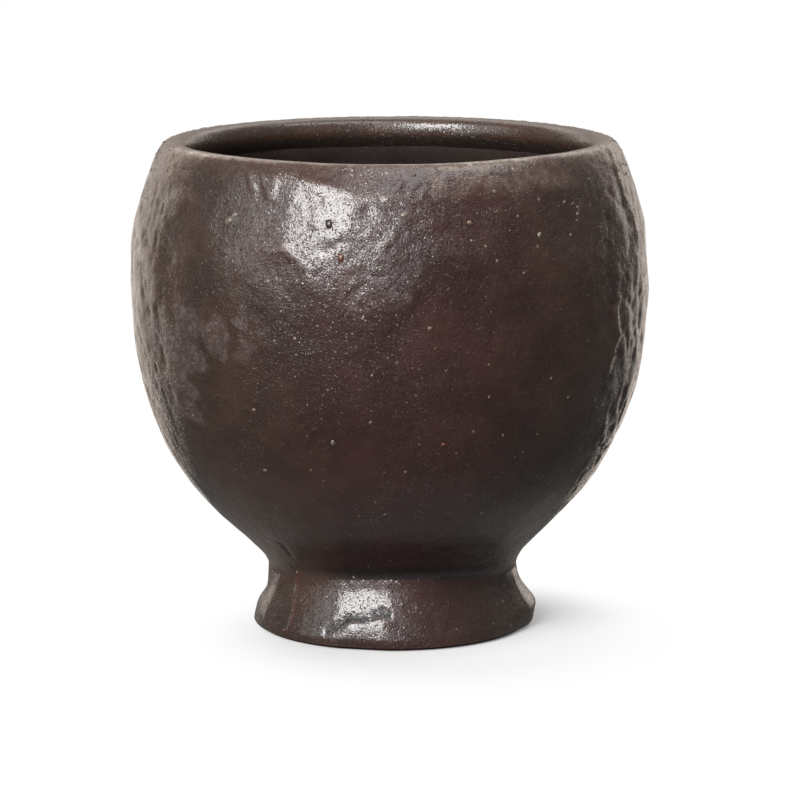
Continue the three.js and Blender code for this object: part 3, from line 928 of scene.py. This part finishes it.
def build_seam_slip():
    """The line of slip that closes the foot's seam, standing a little in its groove."""
    rings = []
    heights = np.linspace(0.7, 10.6, 48)
    sides = np.linspace(0, 2 * math.pi, 8, endpoint=False)
    for height in heights:
        turn = float(seam_turn(height))
        point, normal = surface_point(turn, height)
        sideways = np.array([math.cos(turn), math.sin(turn), 0.0])
        wide = 0.20 + 0.10 * noise.noise(Vector((height * 0.9, 3.0, 1.0)))
        centre = point - normal * 0.31
        rings.append([centre + sideways * wide * math.cos(angle) + normal * 0.26 * math.sin(angle)
                      for angle in sides])
    grid = formed_by_hand(pinched_foot(np.array(rings)))
    rows, columns = grid.shape[:2]
    faces = []
    for row in range(rows - 1):
        for column in range(columns):
            after = (column + 1) % columns
            faces.append((row * columns + column, (row + 1) * columns + column,
                          (row + 1) * columns + after, row * columns + after))
    faces.append(tuple(range(columns)))
    faces.append(tuple((rows - 1) * columns + column for column in range(columns))[::-1])
    mesh = bpy.data.meshes.new("seam_slip")
    mesh.from_pydata((grid.reshape(-1, 3) * MM).tolist(), [], faces)
    mesh.polygons.foreach_set("use_smooth", [True] * len(mesh.polygons))
    piece = dressed("seam_slip", mesh, SLIP)
    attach(piece, "root")
    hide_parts("foot_seam_slip")


# Tones of the grog grains
PALE, TAN = (0.17, 0.14, 0.11), (0.13, 0.085, 0.055)
RUST, BROWN = (0.11, 0.04, 0.022), (0.05, 0.026, 0.02)
# Grog grains that show in the photo: pixel, radius in millimetres, tone
GROG_GRAINS = [
    (329, 223, 0.75, BROWN), (342, 259, 0.72, RUST), (359, 264, 0.60, PALE), (377, 270, 0.42, PALE),
    (228, 221, 0.85, PALE), (233, 216, 0.55, PALE), (356, 187, 0.45, PALE), (267, 282, 0.35, PALE),
    (208, 330, 0.40, TAN), (470, 223, 0.55, TAN), (541, 234, 0.50, PALE), (519, 216, 0.35, TAN),
    (564, 202, 0.35, PALE), (574, 204, 0.42, RUST), (494, 193, 0.35, PALE), (406, 215, 0.72, PALE),
    (525, 272, 0.28, TAN), (431, 330, 0.48, TAN), (254, 410, 0.42, TAN), (334, 444, 0.50, PALE),
    (370, 422, 0.38, TAN), (264, 472, 0.42, PALE), (327, 390, 0.25, PALE), (373, 374, 0.28, PALE),
    (384, 514, 0.30, PALE), (490, 364, 0.32, TAN), (551, 377, 0.34, TAN), (490, 398, 0.30, TAN),
    (569, 396, 0.38, TAN), (473, 431, 0.32, TAN), (444, 446, 0.48, RUST), (502, 436, 0.30, TAN),
    (595, 402, 0.35, PALE), (385, 473, 0.26, TAN), (385, 628, 0.42, TAN), (284, 631, 0.45, RUST),
    (633, 174, 0.55, BROWN), (579, 207, 0.28, PALE), (578, 213, 0.34, PALE), (576, 219, 0.26, TAN),
    (574, 227, 0.24, RUST), (572, 236, 0.28, PALE), (560, 205, 0.26, TAN),
]
# Grains spread over the bowl, and along the two ends of the rim
SPREAD_GRAINS, RIM_GRAINS = 85, 90


def build_grog_grains(skin):
    """Coarse grains of grog that push up through the glaze, as one piece."""
    grains = [(*on_surface(px, py), radius, tone) for px, py, radius, tone in GROG_GRAINS]
    for _ in range(SPREAD_GRAINS):
        turn, height = random.uniform(-math.pi, math.pi), random.uniform(20, 76)
        radius = random.uniform(0.10, 0.21)
        grains.append((turn, height, radius, random.choice((PALE, TAN, TAN, BROWN, BROWN, RUST))))
    for _ in range(RIM_GRAINS):
        turn, height = random.choice((-1, 1)) * random.uniform(0.95, 2.3), random.uniform(75.0, 80.6)
        radius = random.uniform(0.14, 0.30)
        grains.append((turn, height, radius, random.choice((TAN, BROWN, BROWN, BROWN))))
    turns = column_turns(COLUMNS)
    vertices, faces, tones = [], [], []
    ring, bands = 10, (0.45, 0.8, 1.0)
    for turn, height, radius, tone in grains:
        place = CREST_ROW + np.argmin(np.abs(BOWL_SIDE[:, 1] - height)), np.argmin(np.abs(turns - turn))
        seat, normal = skin[place], FORMED_NORMALS[place]
        sideways = np.array([math.cos(turn), math.sin(turn), 0.0])
        upward = np.cross(normal, sideways)
        base = len(vertices)
        lopsided = random.uniform(-0.25, 0.25)
        for band in bands:
            for step in range(ring):
                angle = 2 * math.pi * step / ring
                uneven = 1 + 0.16 * math.sin(2 * angle + turn * 9) + lopsided * math.cos(angle)
                outward = sideways * math.cos(angle) + upward * math.sin(angle)
                lift = radius * (0.62 * math.sqrt(max(0.0, 1 - band * band)) - 0.25)
                vertices.append(seat + outward * radius * band * uneven + normal * lift)
        top, bottom = len(vertices), len(vertices) + 1
        vertices.append(seat + normal * radius * 0.37)
        vertices.append(seat - normal * radius * 0.7)
        for step in range(ring):
            after = (step + 1) % ring
            faces.append((top, base + step, base + after))
            for row in range(len(bands) - 1):
                here, below = base + row * ring, base + (row + 1) * ring
                faces.append((here + step, below + step, below + after, here + after))
            last = base + (len(bands) - 1) * ring
            faces.append((last + step, bottom, last + after))
        tones += [(*tone, 1.0)] * (len(vertices) - base)
    mesh = bpy.data.meshes.new("grog_grains")
    mesh.from_pydata((np.array(vertices) * MM).tolist(), [], faces)
    mesh.polygons.foreach_set("use_smooth", [True] * len(mesh.polygons))
    layer = mesh.color_attributes.new("grog_tone", "FLOAT_COLOR", "POINT")
    layer.data.foreach_set("color", np.array(tones, dtype=np.float32).ravel())
    piece = dressed("grog_grains", mesh, GROG)
    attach(piece, "root")


OUTSIDE_SKIN = build_outside()
build_inside()
build_bare_foot()
build_seam_slip()
build_grog_grains(OUTSIDE_SKIN)


# The warm white that the cup's edges mirror
WARM = (1.0, 0.88, 0.78)
WHITE = (1.0, 1.0, 1.0)

# The wedge of floor behind the cup that its edges mirror: its corner in metres, the way it faces,
# the cosines over which its two sides fade, and the distances from the axis over which it starts
WEDGE_CORNER = (0.030, 0.029, 0.0)
WEDGE_FACING = (-0.187, 0.982, 0.0)
WEDGE_SIDES = 0.50, 0.58
WEDGE_START = 0.052, 0.076

# The middle of the cup's shadow on the floor, and the distances from it, in metres, over which
# the floor fades to white
SHADOW_MIDDLE = (0.009, -0.012, 0.0)
SHADOW_FADE = 0.020, 0.042


def seen_rays(tree, mirrored):
    """1 for the rays that show a background, camera and clear ones, and a share for mirror rays."""
    path = tree.nodes.new("ShaderNodeLightPath")
    mirror = math_node(tree, "MULTIPLY", path.outputs["Is Glossy Ray"], mirrored)
    seen = math_node(tree, "ADD", path.outputs["Is Camera Ray"], mirror)
    return math_node(tree, "ADD", seen, path.outputs["Is Transmission Ray"], clamp=True)


def studio_finish(name):
    """An empty finish of the studio; gives the material, its node tree and its surface socket."""
    material = bpy.data.materials.new(name)
    material.use_nodes = True
    tree = material.node_tree
    tree.nodes.clear()
    return material, tree, tree.nodes.new("ShaderNodeOutputMaterial").inputs["Surface"]


def mixed_shader(tree, share, first, second):
    """Two shaders mixed by a share; gives the mixed shader."""
    node = tree.nodes.new("ShaderNodeMixShader")
    for place, source in enumerate((share, first.outputs[0], second.outputs[0])):
        tree.links.new(source, node.inputs[place])
    return node


def flat_sheet(name, corners, finish):
    """A flat four-cornered sheet of the studio."""
    mesh = bpy.data.meshes.new(name)
    mesh.from_pydata(corners, [], [(0, 1, 2, 3)])
    sheet = dressed(name, mesh, finish)


def build_floor():
    """A pale floor that keeps the cup's shadow, fades to white, and shows in the cup's edges."""
    finish, tree, surface = studio_finish("pale_floor")
    lit = add(tree, "ShaderNodeBsdfDiffuse", Color=(0.72, 0.72, 0.72, 1.0))
    dim = add(tree, "ShaderNodeBsdfDiffuse", Color=(0.07, 0.07, 0.07, 1.0))
    white = add(tree, "ShaderNodeEmission", Strength=1.0)
    tree.links.new(blended(tree, seen_rays(tree, 0.0), WARM, WHITE), white.inputs["Color"])
    place = tree.nodes.new("ShaderNodeTexCoord").outputs["Object"]
    from_shadow = vector_node(tree, "DISTANCE", place, SHADOW_MIDDLE)
    fading = mixed_shader(tree, ranged(tree, from_shadow, *SHADOW_FADE, 0.2, 1.0), lit, white)

    away = vector_node(tree, "LENGTH", place)
    from_corner = vector_node(tree, "SUBTRACT", place, WEDGE_CORNER)
    ahead = vector_node(tree, "DOT_PRODUCT", from_corner, WEDGE_FACING)
    cosine = math_node(tree, "DIVIDE", ahead, vector_node(tree, "LENGTH", from_corner))
    sides, start = ranged(tree, cosine, *WEDGE_SIDES), ranged(tree, away, *WEDGE_START)
    wedge = ranged(tree, math_node(tree, "MULTIPLY", sides, start), 0.0, 1.0)
    near = ranged(tree, away, 0.03, 0.07, 0.18, 0.02)
    mirrored = math_node(tree, "ADD", near, wedge)
    tree.links.new(mixed_shader(tree, seen_rays(tree, mirrored), dim, fading).outputs[0], surface)
    flat_sheet("studio_floor", [(-6, -6, 0), (6, -6, 0), (6, 6, 0), (-6, 6, 0)], finish)


def build_white_sheet():
    """A white sheet behind the cup, dimmer and warmer in what the cup mirrors."""
    finish, tree, surface = studio_finish("white_sheet")
    white = tree.nodes.new("ShaderNodeEmission")
    seen = seen_rays(tree, 0.0)
    tree.links.new(blended(tree, seen, WARM, WHITE), white.inputs["Color"])
    tree.links.new(ranged(tree, seen, 0.0, 1.0, 0.40, 1.0), white.inputs["Strength"])
    tree.links.new(white.outputs[0], surface)
    corners = [(-1.6, 1.3, 0), (1.2, 1.3, 0), (1.2, 1.3, 2.6), (-1.6, 1.3, 2.6)]
    flat_sheet("white_sheet", corners, finish)


def build_dim_room():
    """A white room that lights the cup only dimly."""
    world = bpy.data.worlds.new("dim_room")
    bpy.context.scene.world = world
    world.use_nodes = True
    tree = world.node_tree
    background = tree.nodes["Background"]
    background.inputs["Color"].default_value = (*WHITE, 1.0)
    strength = ranged(tree, seen_rays(tree, 0.0), 0.0, 1.0, 0.14, 1.0)
    tree.links.new(strength, background.inputs["Strength"])


def build_softbox(name, azimuth, elevation, distance, width, height, watts, tint=WHITE):
    """A soft lamp that faces the cup, placed by its turn from the front and its elevation."""
    lamp = bpy.data.lights.new(name, "AREA")
    lamp.shape = "RECTANGLE"
    lamp.size, lamp.size_y = width, height
    lamp.energy = watts
    lamp.color = tint
    holder = bpy.data.objects.new(name, lamp)
    bpy.context.scene.collection.objects.link(holder)
    az, el = math.radians(azimuth), math.radians(elevation)
    away = Vector((math.sin(az) * math.cos(el), -math.cos(az) * math.cos(el), math.sin(el)))
    holder.location = Vector((0, 0, 0.05)) + away * distance
    holder.rotation_euler = away.to_track_quat("Z", "Y").to_euler()


def build_camera():
    """The camera at the photographed view."""
    view = bpy.data.cameras.new("photo_view")
    view.sensor_width = 36.0
    view.lens = FOCAL_PIXELS / PICTURE * view.sensor_width
    holder = bpy.data.objects.new("photo_view", view)
    bpy.context.scene.collection.objects.link(holder)
    holder.location = (CAMERA_SIDE * MM, -CAMERA_BACK * MM, CAMERA_HEIGHT * MM)
    holder.rotation_euler = (math.pi / 2 - CAMERA_TILT, 0, 0)
    bpy.context.scene.camera = holder


build_floor()
build_white_sheet()
build_dim_room()
# Soft lamps: turn and elevation in degrees, distance, width and height in metres, watts, and a tint
build_softbox("side_softbox", -28, 30, 1.0, 0.52, 0.34, 9.6)
build_softbox("broad_softbox", -34, 25, 1.0, 1.60, 0.76, 6.5)
build_softbox("top_softbox", 38, 62, 1.0, 1.10, 0.45, 5.6)
build_softbox("back_softbox", 180, 52, 1.2, 1.60, 1.10, 5.0)
build_softbox("left_strip", -142, 16, 1.2, 0.62, 1.0, 1.25, WARM)
build_softbox("right_strip", 148, 16, 1.2, 0.65, 1.0, 1.35, WARM)
build_camera()
bpy.context.scene.view_settings.view_transform = "Standard"
